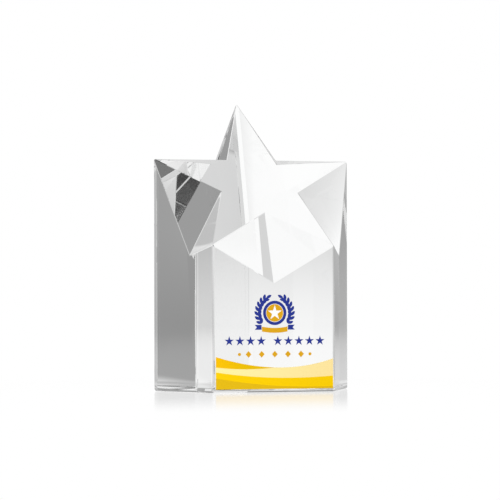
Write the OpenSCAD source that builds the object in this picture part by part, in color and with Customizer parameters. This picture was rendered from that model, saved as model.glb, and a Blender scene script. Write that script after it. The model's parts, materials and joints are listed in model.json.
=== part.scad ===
// Star award: one block of optical crystal whose sliced top is a flat five-pointed star,
// with a colour print on its front face. +Z up, front towards -Y, base at Z = 0.

/* [Crystal block] */
// Height from the base to the top of the star
height = 152; // [145:1:165]
// Width across the two side corners, before they are flattened
arm_w = 106.2; // [100:0.2:112]
// Width of the front face, before its corners are flattened
front_w = 65; // [62:0.2:68]
// Depth from the front face to the back corner, before it is flattened
depth = 66.5; // [64:0.1:70]
// Depth from the front face to the two side corners
arm_depth = 39.1; // [37:0.1:42]
// Lean of the star's plane from the vertical, in degrees
star_lean = 40.5; // [39:0.1:43]
// Width of the polished flat along the back edge
back_flat = 1.9; // [1:0.1:2.5]
// Width of the flat along the two front edges
front_flat = 1.3; // [0.6:0.1:2]
// Width of the finer flat along the two side edges
side_flat = 0.7; // [0.5:0.1:1.5]
// Height and width of the bevel round the base
base_bevel = 0.8; // [0.4:0.1:1.5]

/* [Notches] */
// Height of the front notch's lowest point
front_notch_z = 55.7; // [53:0.1:60]
// Height of each side notch's lowest point
side_notch_z = 69.7; // [66:0.1:72]
// Place of that point on the side face, counted from the front corner
side_notch_along = 0.38; // [0.34:0.005:0.44]
// Height of each back notch's lowest point
back_notch_z = 112.8; // [110:0.1:115]
// Place of that point on the back face, counted from the side corner
back_notch_along = 0.67; // [0.62:0.01:0.7]

/* [Print] */
// Thickness of the cured ink
ink_t = 0.12; // [0.08:0.01:0.2]
// Place of the print's middle, sideways from the middle of the front face
print_x = 0.4; // [-0.8:0.1:0.8]
// Bare face beside the wave, at the end where it comes nearer to the edge
wave_margin = 0.1; // [0:0.05:1]
// Height of the wave's straight lower edge
wave_low = 1.7; // [1.4:0.1:2]
// Height of the wave's upper edge at its left end
wave_high = 18.2; // [17.6:0.1:18.6]
// Height of the wave's upper edge over the middle third
wave_mid = 13.2; // [13:0.1:13.4]
// Height of the row of gold diamonds
diamond_z = 19.4; // [19.2:0.1:19.8]
// Height of the row of navy stars
star_row_z = 26.1; // [25.5:0.1:26.5]
// Height of the emblem's centre
emblem_z = 40.4; // [40:0.1:41.2]

/* [Hidden] */
$fn = 128;

// Plan of the block, with Y counted from the front face: the star's five points.
foot_l = [-front_w / 2, 0];
foot_r = [front_w / 2, 0];
arm_l = [-arm_w / 2, arm_depth];
arm_r = [arm_w / 2, arm_depth];
apex = [0, depth];
corners = [foot_l, foot_r, arm_r, apex, arm_l];
flats = [front_flat, front_flat, side_flat, back_flat, side_flat];

// The same plan with each corner cut back to a flat, in order round the block.
plan = [for (i = [0 : len(corners) - 1]) each flat_ends(i)];
back_y = max([for (p = plan) p.y]);
front_y = -(back_y - ink_t) / 2;

// Each notch runs from an inner corner of the star down to a point on the face below it:
// two points of the star, the inner corner between them, and the point on the face.
notches = [
    [foot_l, foot_r, crossing(foot_l, arm_r, foot_r, arm_l),
        on_face(foot_l, foot_r, 0.5, front_notch_z)],
    [foot_r, arm_r, crossing(foot_r, apex, arm_r, foot_l),
        on_face(foot_r, arm_r, side_notch_along, side_notch_z)],
    [arm_r, apex, crossing(arm_r, arm_l, apex, foot_r),
        on_face(arm_r, apex, back_notch_along, back_notch_z)],
    [apex, arm_l, crossing(apex, foot_l, arm_l, arm_r),
        on_face(arm_l, apex, back_notch_along, back_notch_z)],
    [arm_l, foot_l, crossing(arm_l, foot_r, foot_l, apex),
        on_face(foot_l, arm_l, side_notch_along, side_notch_z)]
];
reach = 2 * height;     // longer than the block in any direction
overcut = 1.5;          // a notch's cutter is this many times as wide as its notch

// The wave, which fills the front face from edge to edge. Each line in it is a smooth curve
// through a few heights, evenly spaced from the line's left end to its right end.
face_half = norm(plan[2] - plan[1]) / 2;
wave_half = face_half - wave_margin - abs(print_x);
wave_steps = 20;
wave_fall = 1.2;        // the upper edge's right end is this much lower than its left end
wave_tilt = 0.35;       // a third along it is this much over wave_mid, and two thirds along under it
wave_top = [wave_high, wave_mid + wave_tilt, wave_mid - wave_tilt, wave_high - wave_fall];
crest_low = [12.9, 11.85, curve_z(wave_top, 0.5)];
band_low = [10.4, 8, 7.3, 8.2];
shade_top = [7.4, 3.4, 2.9];

// The two rows of small figures.
row_star_r = 2.6;
row_pitch = 5.65;
row_gap = 8.85;         // spacing across the gap between the row's two groups
row_first_group = 4;
row_count = 9;
diamond_size = [3.1, 3.4];
diamond_pitch = 7;
diamond_count = 5;
dot_r = 0.8;
dot_x = 18.8;

// The emblem: a medal between two laurel branches, over a ribbon.
medal_r = 6.2;
medal_rim = 1.5;
medal_star_r = 3.9;
medal_gap = 0.25;       // bare line between two inks of the emblem
laurel_r = 8.7;         // radius of the branches' stems
laurel_from = -38;      // first and last leaf, in degrees from the medal's right side
laurel_to = 62;
leaf_pairs = 7;
leaf_size = [3.2, 1.5];
leaf_spread = 34;       // angle between a leaf and the stem
stem_w = 0.45;
leaf_overlap = 3;       // degrees of stem under the leaf at the branch's tip
ribbon_half = 6.8;
ribbon_h = 2.5;
ribbon_drop = 8.9;      // from the medal's centre to the middle of the ribbon
ribbon_sag = 0.7;
tail_len = 3.6;
tail_drop = 0.9;
tail_cut = 1.1;

navy = "#2b3990";
gold = "#e0a51e";

// ---- Functions ----

function unit(v) = v / norm(v);

// The flat in place of corner i: the points where it starts and ends.
function flat_ends(i) =
    let (
        n = len(corners),
        p = corners[i],
        before = unit(corners[(i + n - 1) % n] - p),
        after = unit(corners[(i + 1) % n] - p),
        cut = flats[i] / norm(before - after)
    )
    [p + before * cut, p + after * cut];

// Point where the line through a and b crosses the line through c and d, in plan.
function crossing(a, b, c, d) =
    let (u = b - a, v = d - c, w = c - a)
    a + u * (w.x * v.y - w.y * v.x) / (u.x * v.y - u.y * v.x);

// The point of the star's plane that lies over a point of the plan.
function on_star(p) = [p.x, p.y, height - (back_y - p.y) / tan(star_lean)];

// A point on the vertical face between two corners of the plan.
function on_face(a, b, along, z) =
    let (p = a + (b - a) * along)
    [p.x, p.y, z];

// Share of height i of n in a smooth curve, at t = 0 to n - 1 along it.
function share(i, n, t, j = 0) =
    j == n ? 1 : (j == i ? 1 : (t - j) / (i - j)) * share(i, n, t, j + 1);

// Height of the smooth curve through the heights h, at t = 0 to 1 along it.
function curve_z(h, t) =
    let (n = len(h))
    h * [for (i = [0 : n - 1]) share(i, n, t * (n - 1))];

// The part of such a curve between two places along it, where its own ends are at x0 and x1.
// The first point is left out on request.
function curve(h, x0, x1, from = 0, to = 1, skip = 0) =
    [for (i = [skip : wave_steps])
        let (t = from + (to - from) * i / wave_steps)
        [x0 + (x1 - x0) * t, curve_z(h, t)]];

function star_outline(r) =
    let (inner = r * sin(18) / sin(54))
    [for (i = [0 : 9]) (i % 2 == 0 ? r : inner) * [sin(36 * i), cos(36 * i)]];

// Place of figure i along the row of stars, which has a wider gap between its two groups.
function row_x(i) =
    let (
        extra = row_gap - row_pitch,
        width = (row_count - 1) * row_pitch + extra
    )
    i * row_pitch + (i < row_first_group ? 0 : extra) - width / 2;

// ---- Crystal block ----

// Everything in front of and above the star's plane.
module above_star() {
    translate(on_star(foot_l))
        rotate([90 - star_lean, 0, 0])
            translate([-reach, -reach, 0])
                cube([2 * reach, 2 * reach, reach]);
}

// Cutter of one notch: a V section, swept along the valley line.
module notch(n) {
    inner = on_star(n[2]);
    valley = unit(n[3] - inner);
    side_a = on_star(n[0]) - inner;
    side_b = on_star(n[1]) - inner;
    opening = unit(cross(valley, side_b - side_a));
    lateral = cross(opening, valley);
    section = [for (v = [side_a, side_b]) [v * lateral, v * opening] * overcut];
    multmatrix([
        [lateral.x, opening.x, valley.x, inner.x],
        [lateral.y, opening.y, valley.y, inner.y],
        [lateral.z, opening.z, valley.z, inner.z],
        [0, 0, 0, 1]
    ])
        translate([0, 0, -height])
            linear_extrude(2 * height)
                polygon([[0, 0], section[0], section[1]]);
}

// Cutter of the base bevel along one face, which runs a little past the face's two corners.
module bevel(a, b) {
    past = 2;
    translate([a.x, a.y, 0])
        rotate([90, 0, 90 + atan2(b.y - a.y, b.x - a.x)])
            translate([0, 0, -past])
                linear_extrude(norm(b - a) + 2 * past)
                    polygon([[-past, -past], [base_bevel + past, -past], [-past, base_bevel + past]]);
}

module crystal_block() {
    sides = len(corners);
    color("#e8f0f2", 0.35)
        translate([0, front_y, 0])
            difference() {
                linear_extrude(height + 1)
                    polygon(plan);
                above_star();
                for (n = notches)
                    notch(n);
                for (i = [0 : sides - 1])
                    bevel(corners[i], corners[(i + 1) % sides]);
            }
}

// ---- Print ----

// A flat figure in ink on the front face, drawn as it is seen from the front.
module ink(colour) {
    color(colour)
        translate([print_x, front_y, 0])
            rotate([90, 0, 0])
                linear_extrude(ink_t)
                    children();
}

// Amber crest along the left half of the wave's upper edge.
module wave_crest() {
    ink("#e8b80c")
        polygon(concat(
            curve(crest_low, -wave_half, 0),
            curve(wave_top, -wave_half, wave_half, 0.5, 0, 1)
        ));
}

// Pale band that shows under the crest and runs on to the right end.
module wave_pale_band() {
    ink("#fde8a0")
        polygon(concat(
            curve(band_low, -wave_half, wave_half),
            curve(wave_top, -wave_half, wave_half, 1, 0.5),
            curve(crest_low, -wave_half, 0, 1, 0, 1)
        ));
}

module wave_bright_band() {
    ink("#fad000")
        polygon(concat(
            curve(shade_top, -wave_half, wave_half),
            curve(band_low, -wave_half, wave_half, 1, 0)
        ));
}

// Ochre shade along the wave's lower edge, thick at the left.
module wave_shade() {
    ink("#dcb41a")
        polygon(concat(
            [[-wave_half, wave_low], [wave_half, wave_low]],
            curve(shade_top, -wave_half, wave_half, 1, 0)
        ));
}

module emblem_ring() {
    ink(navy)
        translate([0, emblem_z])
            difference() {
                circle(medal_r);
                circle(medal_r - medal_rim);
            }
}

module emblem_disc() {
    ink(gold)
        translate([0, emblem_z])
            difference() {
                circle(medal_r - medal_rim - medal_gap);
                polygon(star_outline(medal_star_r));
            }
}

module emblem_star() {
    ink("white")
        translate([0, emblem_z])
            polygon(star_outline(medal_star_r));
}

// A pointed leaf that starts at the origin and lies along +X.
module leaf() {
    arc_r = (leaf_size.x * leaf_size.x + leaf_size.y * leaf_size.y) / (4 * leaf_size.y);
    intersection() {
        translate([leaf_size.x / 2, arc_r - leaf_size.y / 2])
            circle(arc_r);
        translate([leaf_size.x / 2, leaf_size.y / 2 - arc_r])
            circle(arc_r);
    }
}

// Right-hand laurel branch round the origin: an arc of stem with leaves in pairs.
module branch() {
    step = (laurel_to - laurel_from) / leaf_pairs;
    for (i = [0 : leaf_pairs - 1])
        rotate(laurel_from + i * step)
            translate([laurel_r, 0])
                for (lean = [90 - leaf_spread, 90 + leaf_spread])
                    rotate(lean)
                        leaf();
    rotate(laurel_to - leaf_overlap)
        translate([laurel_r, 0])
            rotate(90)
                leaf();
    intersection() {
        difference() {
            circle(laurel_r + stem_w / 2);
            circle(laurel_r - stem_w / 2);
        }
        polygon(concat(
            [[0, 0]],
            [for (i = [0 : 4]) let (a = laurel_from + i * (laurel_to - laurel_from) / 4)
                2 * laurel_r * [cos(a), sin(a)]]
        ));
    }
}

module emblem_laurel(side) {
    ink(navy)
        translate([0, emblem_z])
            mirror([side < 0 ? 1 : 0, 0])
                branch();
}

// Middle line of the ribbon, which hangs lowest in the middle.
function ribbon_z(x) = emblem_z - ribbon_drop + ribbon_sag * (x / ribbon_half) * (x / ribbon_half);

function ribbon_edge(from, to, rise) =
    [for (i = [0 : 12]) let (x = from + (to - from) * i / 12) [x, ribbon_z(x) + rise]];

module emblem_ribbon() {
    ink(gold)
        polygon(concat(
            ribbon_edge(-ribbon_half, ribbon_half, -ribbon_h / 2),
            ribbon_edge(ribbon_half, -ribbon_half, ribbon_h / 2)
        ));
}

// Swallow-tailed end of the ribbon, folded behind and set a little higher.
module emblem_tail(side) {
    z = ribbon_z(ribbon_half) + tail_drop;
    ink(navy)
        mirror([side < 0 ? 1 : 0, 0])
            translate([ribbon_half + medal_gap, z])
                polygon([
                    [0, -ribbon_h / 2],
                    [tail_len, -ribbon_h / 2],
                    [tail_len - tail_cut, 0],
                    [tail_len, ribbon_h / 2],
                    [0, ribbon_h / 2]
                ]);
}

module row_star(i) {
    ink(navy)
        translate([row_x(i), star_row_z])
            polygon(star_outline(row_star_r));
}

module diamond(i) {
    ink(gold)
        translate([(i - (diamond_count - 1) / 2) * diamond_pitch, diamond_z])
            polygon([
                [-diamond_size.x / 2, 0],
                [0, -diamond_size.y / 2],
                [diamond_size.x / 2, 0],
                [0, diamond_size.y / 2]
            ]);
}

module dot(side) {
    ink(gold)
        translate([side * dot_x, diamond_z])
            circle(dot_r);
}

crystal_block();
wave_crest();
wave_pale_band();
wave_bright_band();
wave_shade();
emblem_ring();
emblem_disc();
emblem_star();
emblem_laurel(-1);  // emblem_laurel_left
emblem_laurel(1);  // emblem_laurel_right
emblem_ribbon();
emblem_tail(-1);  // emblem_tail_left
emblem_tail(1);  // emblem_tail_right
dot(-1);  // dot_left
dot(1);  // dot_right
for (i = [0 : row_count - 1])
    row_star(i);
for (i = [0 : diamond_count - 1])
    diamond(i);
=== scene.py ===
"""Star award of clear crystal with a printed front face, on a white table in a bright studio."""

import json
import math

import bmesh
import bpy
from mathutils import Matrix, Vector


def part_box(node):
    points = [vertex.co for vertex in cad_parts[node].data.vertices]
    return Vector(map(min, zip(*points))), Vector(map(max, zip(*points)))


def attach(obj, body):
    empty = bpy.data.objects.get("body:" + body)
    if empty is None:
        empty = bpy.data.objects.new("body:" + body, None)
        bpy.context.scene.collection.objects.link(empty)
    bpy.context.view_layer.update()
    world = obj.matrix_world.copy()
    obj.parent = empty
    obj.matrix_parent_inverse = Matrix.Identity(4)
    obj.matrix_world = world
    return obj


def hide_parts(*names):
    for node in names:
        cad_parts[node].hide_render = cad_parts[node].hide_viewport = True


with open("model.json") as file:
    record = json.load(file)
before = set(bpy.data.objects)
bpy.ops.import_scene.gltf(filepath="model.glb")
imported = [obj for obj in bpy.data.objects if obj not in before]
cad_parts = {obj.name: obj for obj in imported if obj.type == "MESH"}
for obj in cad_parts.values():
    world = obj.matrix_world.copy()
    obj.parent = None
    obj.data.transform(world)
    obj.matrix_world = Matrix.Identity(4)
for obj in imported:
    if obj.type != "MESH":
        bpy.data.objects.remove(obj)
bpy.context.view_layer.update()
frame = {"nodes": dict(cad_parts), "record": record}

# ---- Sizes, in metres ----
MM = 0.001
front_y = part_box("crystal_block")[0].y   # the face that carries the print

EDGE_BEVEL = 0.28 * MM      # polished facet that takes the sharpness off every edge
WELD_TIP = 0.5 * MM         # edges shorter than this at the star's points become one point
INK_SINK = 0.03 * MM        # how far an ink film reaches into the glass, so that the two touch
ON_FACE = 0.01 * MM         # a film's point this near the front face, or behind it, is on its back
SAME_POINT = 0.001 * MM     # points of the CAD mesh this close together are one
FLAT_ANGLE = math.radians(0.2)  # faces of the CAD mesh that turn by less than this are one facet

# ---- Camera ----
VIEW_AZIMUTH = math.radians(-16.8)
VIEW_ELEVATION = math.radians(-1.22)
VIEW_ROLL = math.radians(0.18)
VIEW_DISTANCE = 1.296
VIEW_TARGET = Vector((-0.0032, -0.0017, 0.0731))
LENS = 179.0                # mm
SENSOR_WIDTH = 36           # mm
NEAREST_SEEN = 0.05         # metres

# ---- Light paths ----
BOUNCES = 24                # in all, and through glass
MIRROR_BOUNCES = 12

# ---- Materials ----
GLASS_IOR = 1.554
GLASS_TINT = (0.992, 0.998, 0.996, 1)
TINT_CLOUDS = 18.0          # noise scale of the glass's tint
INK_IOR = 1.45
INK_ROUGHNESS = 0.35
INK_GLOSS = 0.1
INK_CHANGE = 0.97           # how much of an even colour is left at the print's right-hand end
PRINT_HALF = 31.5 * MM      # the print's colours run along X this far to each side
PRINT_DOTS = 4500.0         # noise scale of the print's grain
DOT_VALUE = 0.93            # how bright the colour is in a print dot

# ---- Panel that lights the print, in metres and watts ----
PANEL_SIZE = 1.2
PANEL_PLACE = (-0.5, -1.6, 0.9)
PANEL_AIM = (0, 0, 0.05)
PANEL_POWER = 26.5


def add_camera():
    back = Vector((
        math.sin(VIEW_AZIMUTH) * math.cos(VIEW_ELEVATION),
        -math.cos(VIEW_AZIMUTH) * math.cos(VIEW_ELEVATION),
        math.sin(VIEW_ELEVATION),
    ))
    right = Vector((math.cos(VIEW_AZIMUTH), math.sin(VIEW_AZIMUTH), 0))
    up = back.cross(right)
    level = Matrix((right, up, back)).transposed()
    data = bpy.data.cameras.new("camera")
    data.lens = LENS
    data.sensor_width = SENSOR_WIDTH
    data.clip_start = NEAREST_SEEN
    camera = bpy.data.objects.new("camera", data)
    camera.matrix_world = (
        Matrix.Translation(VIEW_TARGET + back * VIEW_DISTANCE)
        @ (level @ Matrix.Rotation(-VIEW_ROLL, 3, "Z")).to_4x4()
    )
    bpy.context.scene.collection.objects.link(camera)
    bpy.context.scene.camera = camera


# ---- Node helpers ----
class Tree:
    """A node tree with a short way to add and join nodes."""

    def __init__(self, owner):
        owner.use_nodes = True
        self.tree = owner.node_tree
        self.tree.nodes.clear()

    def node(self, kind, inputs=None, **settings):
        made = self.tree.nodes.new(kind)
        for name, value in settings.items():
            setattr(made, name, value)
        for name, value in (inputs or {}).items():
            if isinstance(value, bpy.types.NodeSocket):
                self.tree.links.new(value, made.inputs[name])
            else:
                made.inputs[name].default_value = value
        return made

    def math(self, operation, a, b=0.0, clamp=False):
        made = self.node("ShaderNodeMath", {0: a, 1: b}, operation=operation, use_clamp=clamp)
        return made.outputs[0]

    def blend(self, factor, a, b):
        made = self.node("ShaderNodeMix", {0: factor, 6: a, 7: b}, data_type="RGBA")
        return made.outputs[2]

    def ramp(self, value, stops):
        made = self.node("ShaderNodeValToRGB", {0: value})
        elements = made.color_ramp.elements
        while len(elements) < len(stops):
            elements.new(1.0)
        for element, (position, colour) in zip(elements, stops):
            element.position = position
            element.color = colour
        return made.outputs[0]


def grey(tone):
    """Grey of a screen tone: 0 is black and 1 is white."""
    value = ((tone + 0.055) / 1.055) ** 2.4
    return (value, value, value, 1)


# ---- Material nodes ----
def crystal_material():
    mat = bpy.data.materials.new("crystal")
    t = Tree(mat)
    place = t.node("ShaderNodeTexCoord").outputs["Object"]
    cloud = t.node("ShaderNodeTexNoise", {"Vector": place, "Scale": TINT_CLOUDS, "Detail": 2.0})
    tint = t.blend(cloud.outputs[0], GLASS_TINT, (1, 1, 1, 1))
    shader = t.node("ShaderNodeBsdfPrincipled", {
        "Base Color": tint,
        "Roughness": 0.0,
        "IOR": GLASS_IOR,
        "Transmission Weight": 1.0,
    })
    t.node("ShaderNodeOutputMaterial", {"Surface": shader.outputs[0]})
    return mat


def ink_material(name, stops):
    """Cured ink: its colour runs along X, with the grain of fine print dots."""
    mat = bpy.data.materials.new(name)
    t = Tree(mat)
    place = t.node("ShaderNodeTexCoord").outputs["Object"]
    x = t.node("ShaderNodeSeparateXYZ", {0: place}).outputs["X"]
    along = t.node("ShaderNodeMapRange", {0: x, 1: -PRINT_HALF, 2: PRINT_HALF}).outputs[0]
    colour = t.ramp(along, stops)
    dots = t.node("ShaderNodeTexNoise", {"Vector": place, "Scale": PRINT_DOTS, "Detail": 1.0})
    deeper = t.node("ShaderNodeHueSaturation", {"Value": DOT_VALUE, "Color": colour}).outputs[0]
    shader = t.node("ShaderNodeBsdfPrincipled", {
        "Base Color": t.blend(dots.outputs[0], deeper, colour),
        "Roughness": INK_ROUGHNESS,
        "IOR": INK_IOR,
        "Specular IOR Level": INK_GLOSS,
    })
    # The film shows through the glass, but not in the sharp mirrors that the glass's sides make.
    path = t.node("ShaderNodeLightPath").outputs
    mirrored = t.math("MINIMUM", path["Transmission Depth"], path["Glossy Depth"], clamp=True)
    clear = t.node("ShaderNodeBsdfTransparent").outputs[0]
    film = shader.outputs[0]
    inside = t.node("ShaderNodeMixShader", {0: mirrored, 1: film, 2: clear}).outputs[0]
    shown = t.node("ShaderNodeMixShader", {0: path["Is Singular Ray"], 1: film, 2: inside})
    t.node("ShaderNodeOutputMaterial", {"Surface": shown.outputs[0]})
    return mat


def even(r, g, b):
    """Ramp stops for one colour that gets a trace darker along the face."""
    return [(0.0, (r, g, b, 1)), (1.0, (r * INK_CHANGE, g * INK_CHANGE, b * INK_CHANGE, 1))]


def ink_materials():
    """One material for each ink slot, under the slot's name."""
    colours = {
        "navy_ink": even(0.023, 0.039, 0.27),
        "gold_ink": even(0.72, 0.38, 0.012),
        "white_ink": even(0.96, 0.96, 0.96),
        "amber_ink": [(0.04, (0.92, 0.52, 0.0, 1)), (0.26, (0.79, 0.49, 0.0, 1))],
        "pale_ink": [(0.0, (0.97, 0.86, 0.36, 1)), (1.0, (0.95, 0.75, 0.33, 1))],
        "yellow_ink": even(0.95, 0.61, 0.0),
        "ochre_ink": even(0.76, 0.48, 0.006),
    }
    return {name: ink_material(name, stops) for name, stops in colours.items()}


# ---- Crystal ----
def make_crystal(material):
    """The CAD block with a fine polished facet along each edge."""
    mesh = frame["nodes"]["crystal_block"].data.copy()
    mesh.materials.clear()
    bm = bmesh.new()
    bm.from_mesh(mesh)
    bmesh.ops.remove_doubles(bm, verts=bm.verts, dist=SAME_POINT)
    bmesh.ops.dissolve_limit(
        bm, angle_limit=FLAT_ANGLE, verts=bm.verts, edges=bm.edges, use_dissolve_boundaries=False
    )
    tips = [e for e in bm.edges if e.calc_length() < WELD_TIP]
    bmesh.ops.collapse(bm, edges=tips, uvs=False)
    bmesh.ops.bevel(
        bm, geom=bm.edges[:], offset=EDGE_BEVEL, offset_type="OFFSET", segments=1,
        profile=0.5, affect="EDGES", clamp_overlap=True,
    )
    bmesh.ops.triangulate(bm, faces=[f for f in bm.faces if len(f.verts) > 4])
    bm.to_mesh(mesh)
    bm.free()
    mesh.materials.append(material)
    for face in mesh.polygons:
        face.use_smooth = False
    crystal = bpy.data.objects.new("crystal", mesh)
    bpy.context.scene.collection.objects.link(crystal)
    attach(crystal, "root")
    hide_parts("crystal_block")


# ---- Print ----
def make_ink(node, material):
    """A copy of the CAD film whose back sinks a hair into the glass."""
    mesh = frame["nodes"][node].data.copy()
    mesh.materials.clear()
    mesh.materials.append(material)
    for vertex in mesh.vertices:
        if vertex.co.y > front_y - ON_FACE:
            vertex.co.y = front_y + INK_SINK
    ink = bpy.data.objects.new("ink_" + node, mesh)
    bpy.context.scene.collection.objects.link(ink)
    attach(ink, "root")
    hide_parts(node)


# ---- Studio ----
# A tone is what the eye reads off the picture, from 0, black, to 1, white. Bearings are in
# degrees round the block: 0 is straight behind it, 90 its right and -90 its left.
# Of the 75 stops in the first four lists, 24 are as a fit to the photo's tones gave them; the
# others were set one by one. See "A rule that may not be fully met" in report.md.
# Painted shade and light: these tones darken the table where the block's shade would fall and lighten it
# where light through the glass would land.
NEAR_TABLE = [          # the table within a hand's width of the block
    (-180, 0.75), (-120, 0.78), (-90, 0.86), (-60, 0.80), (-30, 0.80), (0, 0.86),
    (28, 0.92), (36, 0.80), (50, 0.90), (60, 0.92), (72, 0.86), (95, 0.82), (115, 0.88),
    (140, 0.70), (180, 0.75),
]
# Painted light and shade: the table glows white behind the block, where the studio's light falls, and
# greyer to the sides and front.
FAR_TABLE = [           # the table from there out
    (-180, 0.71), (-130, 0.69), (-90, 0.64), (-50, 0.78), (-30, 0.74), (-14, 0.80), (-5, 0.84),
    (-0.6, 0.92), (1.5, 1.0), (30, 1.0), (36, 0.94), (42, 0.98), (50, 1.0), (60, 0.94), (75, 0.77),
    (92, 0.78), (110, 0.84), (140, 0.90), (152, 0.63), (165, 0.62), (180, 0.71),
]
# On the table these tones are painted light and shade; in the world they are the studio's own light.
HORIZON = [             # the table's far end, and the room at that height
    (-180, 0.52), (-150, 0.30), (-130, 0.62), (-90, 0.52), (-65, 0.55), (-50, 0.76), (-15, 0.80),
    (0, 0.98), (20, 0.97), (36, 0.82), (42, 0.92), (50, 0.95), (58, 0.92), (66, 0.72), (80, 0.70),
    (100, 0.80), (112, 1.0), (125, 1.0), (140, 0.78), (158, 0.58), (180, 0.56),
]
WALLS = [               # above the horizon, up to the ceiling
    (-180, 0.84), (-150, 0.78), (-110, 0.62), (-85, 0.55), (-50, 0.60), (-15, 0.70), (0, 0.85),
    (20, 0.85), (36, 0.66), (42, 0.78), (50, 0.85), (65, 0.68), (85, 0.78), (105, 0.95), (130, 0.96),
    (145, 0.80), (160, 0.60), (180, 0.84),
]
LEDGE = [               # a dark ring, about 30 degrees up, that outlines the foot of the block
    (-180, 0.55), (-120, 0.65), (-60, 0.65), (-30, 0.45), (50, 0.45), (80, 0.80), (105, 0.95),
    (132, 0.95), (145, 0.60), (180, 0.55),
]
CEILING = 0.96

# Where one tone gives way to the next: start and end of the change. Distances on the table are
# in metres from its middle; heights in the room are the upward part of a direction of length 1.
NEAR_TO_FAR = (0.11, 0.17)
FAR_TO_HORIZON = (0.3, 4.0)
HORIZON_TO_WALLS = (-0.01, 0.04)
WALLS_TO_CEILING = (0.7, 0.95)
LEDGE_FOOT = (0.38, 0.44)
LEDGE_TOP = (0.62, 0.56)
PATCH_EDGE = (1.15, 0.85)   # the soft edge of a patch or corner, as shares of its half size

# The table as the camera sees it: white, with a reflection that fades out away from the block.
REFLECTION_FADE = (0.08, 0.28)
TABLE_TONE = 0.82           # under the reflection; the rest of the table is white
REFLECTION_TONE = 0.65
TABLE_ROUGHNESS = 0.12
TABLE_HALF = 6.0            # half the table's width, in metres
TABLE_DROP = 0.02 * MM      # gap between the block's base and the table

# Soft dark patches on the table: centre and half size in metres, and tone.
SHADOWS = [             # seen straight through the glass
    ((0.305, 0.170), (0.032, 0.014), 0.53),
    ((0.335, 0.187), (0.030, 0.014), 0.53),
    ((0.365, 0.203), (0.030, 0.014), 0.53),
    ((0.105, 0.122), (0.019, 0.015), 0.74),
    ((0.134, 0.146), (0.028, 0.018), 0.74),
]
MIRRORED_SHADOWS = [    # seen by way of one mirror inside the glass or more
    ((0.520, -0.143), (0.250, 0.078), 0.59),
    ((0.322, -0.087), (0.042, 0.020), 0.59),
]
TWICE_MIRRORED_SHADOWS = [  # seen by way of two such mirrors or more
    ((0.005, 0.070), (0.030, 0.032), 0.18),
    ((-0.045, 0.028), (0.022, 0.018), 0.20),
    ((0.137, -0.006), (0.022, 0.022), 0.05),
    ((0.162, 0.030), (0.026, 0.020), 0.40),
]
# Dark corners high up in the room: direction, half size where that vector ends, and tone.
CORNERS = [
    ((0.45, 0.54, 0.71), 0.18, 0.20),
    ((0.24, -0.52, 0.82), 0.16, 0.15),
]


def round_stops(tones):
    """Ramp stops for a list of bearings and tones."""
    return [((bearing + 180) / 360, grey(tone)) for bearing, tone in tones]


def bearing_of(t, x, y):
    """Bearing of a direction or a place, as 0 to 1 for -180 to 180 degrees."""
    turn = t.math("DIVIDE", t.math("ARCTAN2", x, y), math.tau)
    return t.math("ADD", turn, 0.5)


def step(t, value, start, end):
    """A smooth change from 0 where the value is start to 1 where it is end."""
    inputs = {0: value, 1: start, 2: end}
    return t.node("ShaderNodeMapRange", inputs, interpolation_type="SMOOTHSTEP").outputs[0]


def patch(t, place, centre, half):
    """1 inside a soft ellipse on the table, and 0 outside it."""
    away = t.node("ShaderNodeVectorMath", {0: place, 1: (*centre, 0)}, operation="SUBTRACT").outputs[0]
    away = t.node("ShaderNodeVectorMath", {0: away, 1: (*half, 1)}, operation="DIVIDE").outputs[0]
    away = t.node("ShaderNodeVectorMath", {0: away}, operation="LENGTH").outputs["Value"]
    return step(t, away, *PATCH_EDGE)


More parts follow.
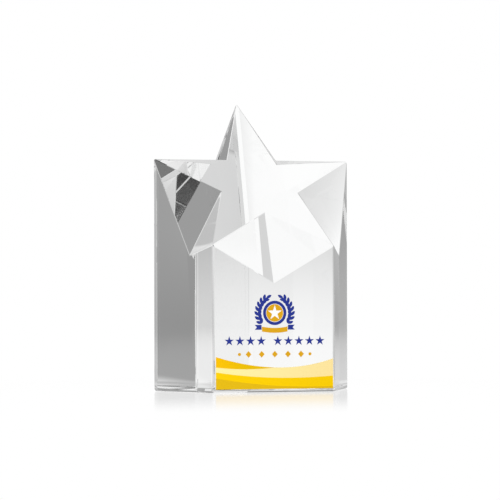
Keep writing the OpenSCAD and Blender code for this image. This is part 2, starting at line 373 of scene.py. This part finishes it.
def add_floor():
    mesh = bpy.data.meshes.new("floor")
    corners = [(x * TABLE_HALF, y * TABLE_HALF, 0) for x, y in ((-1, -1), (1, -1), (1, 1), (-1, 1))]
    mesh.from_pydata(corners, [], [(0, 1, 2, 3)])
    floor = bpy.data.objects.new("floor", mesh)
    floor.location.z = -TABLE_DROP
    mat = bpy.data.materials.new("white_table")
    t = Tree(mat)
    place = t.node("ShaderNodeTexCoord").outputs["Object"]
    across = t.node("ShaderNodeSeparateXYZ", {0: place}).outputs
    bearing = bearing_of(t, across["X"], across["Y"])
    distance = t.node("ShaderNodeVectorMath", {0: place}, operation="LENGTH").outputs["Value"]
    # The table's glow built here is painted light and shade, shadows included; rays through the glass see
    # it, the camera does not.
    near = t.ramp(bearing, round_stops(NEAR_TABLE))
    far = t.ramp(bearing, round_stops(FAR_TABLE))
    horizon = t.ramp(bearing, round_stops(HORIZON))
    tone = t.blend(step(t, distance, *NEAR_TO_FAR), near, far)
    tone = t.blend(step(t, distance, *FAR_TO_HORIZON), tone, horizon)
    path = t.node("ShaderNodeLightPath").outputs
    mirrors = path["Glossy Depth"]      # how many sharp mirrors inside the glass the ray has met
    for shadows, shown in (
        (SHADOWS, t.math("LESS_THAN", mirrors, 0.5)),
        (MIRRORED_SHADOWS, t.math("GREATER_THAN", mirrors, 0.5)),
        (TWICE_MIRRORED_SHADOWS, t.math("GREATER_THAN", mirrors, 1.5)),
    ):
        for centre, half, shade in shadows:
            cover = t.math("MULTIPLY", patch(t, place, centre, half), shown)
            tone = t.blend(cover, tone, grey(shade))
    # What the camera sees is a white table with a faint reflection close to the block.
    fade = step(t, distance, *REFLECTION_FADE)
    white = t.node("ShaderNodeEmission", {"Color": t.blend(fade, grey(TABLE_TONE), grey(1.0))})
    gloss = t.node("ShaderNodeBsdfGlossy", {
        "Color": t.blend(fade, grey(REFLECTION_TONE), grey(0.0)),
        "Roughness": TABLE_ROUGHNESS,
    })
    polished = t.node("ShaderNodeAddShader", {0: white.outputs[0], 1: gloss.outputs[0]}).outputs[0]
    # painted light and shade of the table, shown to every ray but the camera's
    painted_light_and_shade = t.node("ShaderNodeEmission", {"Color": tone}).outputs[0]
    table = t.node("ShaderNodeMixShader", {0: path["Is Camera Ray"], 1: painted_light_and_shade, 2: polished})
    t.node("ShaderNodeOutputMaterial", {"Surface": table.outputs[0]})
    mesh.materials.append(mat)
    bpy.context.scene.collection.objects.link(floor)


def add_world():
    world = bpy.data.worlds.new("studio")
    bpy.context.scene.world = world
    t = Tree(world)
    way = t.node("ShaderNodeTexCoord").outputs["Generated"]
    x, y, z = t.node("ShaderNodeSeparateXYZ", {0: way}).outputs
    bearing = bearing_of(t, x, y)
    room = t.blend(
        step(t, z, *HORIZON_TO_WALLS),
        t.ramp(bearing, round_stops(HORIZON)),
        t.ramp(bearing, round_stops(WALLS)),
    )
    ring = t.math("MULTIPLY", step(t, z, *LEDGE_FOOT), step(t, z, *LEDGE_TOP))
    room = t.blend(ring, room, t.ramp(bearing, round_stops(LEDGE)))
    room = t.blend(step(t, z, *WALLS_TO_CEILING), room, grey(CEILING))
    for towards, half, shade in CORNERS:
        away = t.node("ShaderNodeVectorMath", {0: way, 1: towards}, operation="DISTANCE").outputs["Value"]
        outer, inner = (share * half for share in PATCH_EDGE)
        room = t.blend(step(t, away, inner, outer), grey(shade), room)
    path = t.node("ShaderNodeLightPath").outputs
    soft_gloss = t.math("SUBTRACT", path["Is Glossy Ray"], path["Is Singular Ray"], clamp=True)
    plain = t.math("MAXIMUM", path["Is Camera Ray"], soft_gloss)
    back = t.node("ShaderNodeBackground", {"Color": t.blend(plain, room, grey(1.0))})
    t.node("ShaderNodeOutputWorld", {"Surface": back.outputs[0]})


def add_light():
    """A large soft panel in front that lights the print and shows in no reflection."""
    data = bpy.data.lights.new("panel", "AREA")
    data.shape = "SQUARE"
    data.size = PANEL_SIZE
    data.energy = PANEL_POWER
    panel = bpy.data.objects.new("panel", data)
    panel.location = PANEL_PLACE
    panel.rotation_euler = (Vector(PANEL_AIM) - panel.location).to_track_quat("-Z", "Y").to_euler()
    panel.visible_camera = False
    panel.visible_glossy = False
    panel.visible_transmission = False
    bpy.context.scene.collection.objects.link(panel)


def set_view():
    """Plain colours, and bounces enough for light to find its way out of the glass."""
    scene = bpy.context.scene
    scene.view_settings.view_transform = "Standard"
    scene.cycles.max_bounces = BOUNCES
    scene.cycles.transmission_bounces = BOUNCES
    scene.cycles.glossy_bounces = MIRROR_BOUNCES


add_camera()
inks = ink_materials()
make_crystal(crystal_material())
for part in frame["record"]["subparts"]:
    slot = part["material_slot"]
    if slot in inks:
        make_ink(part["node"], inks[slot])
add_floor()
add_world()
add_light()
set_view()
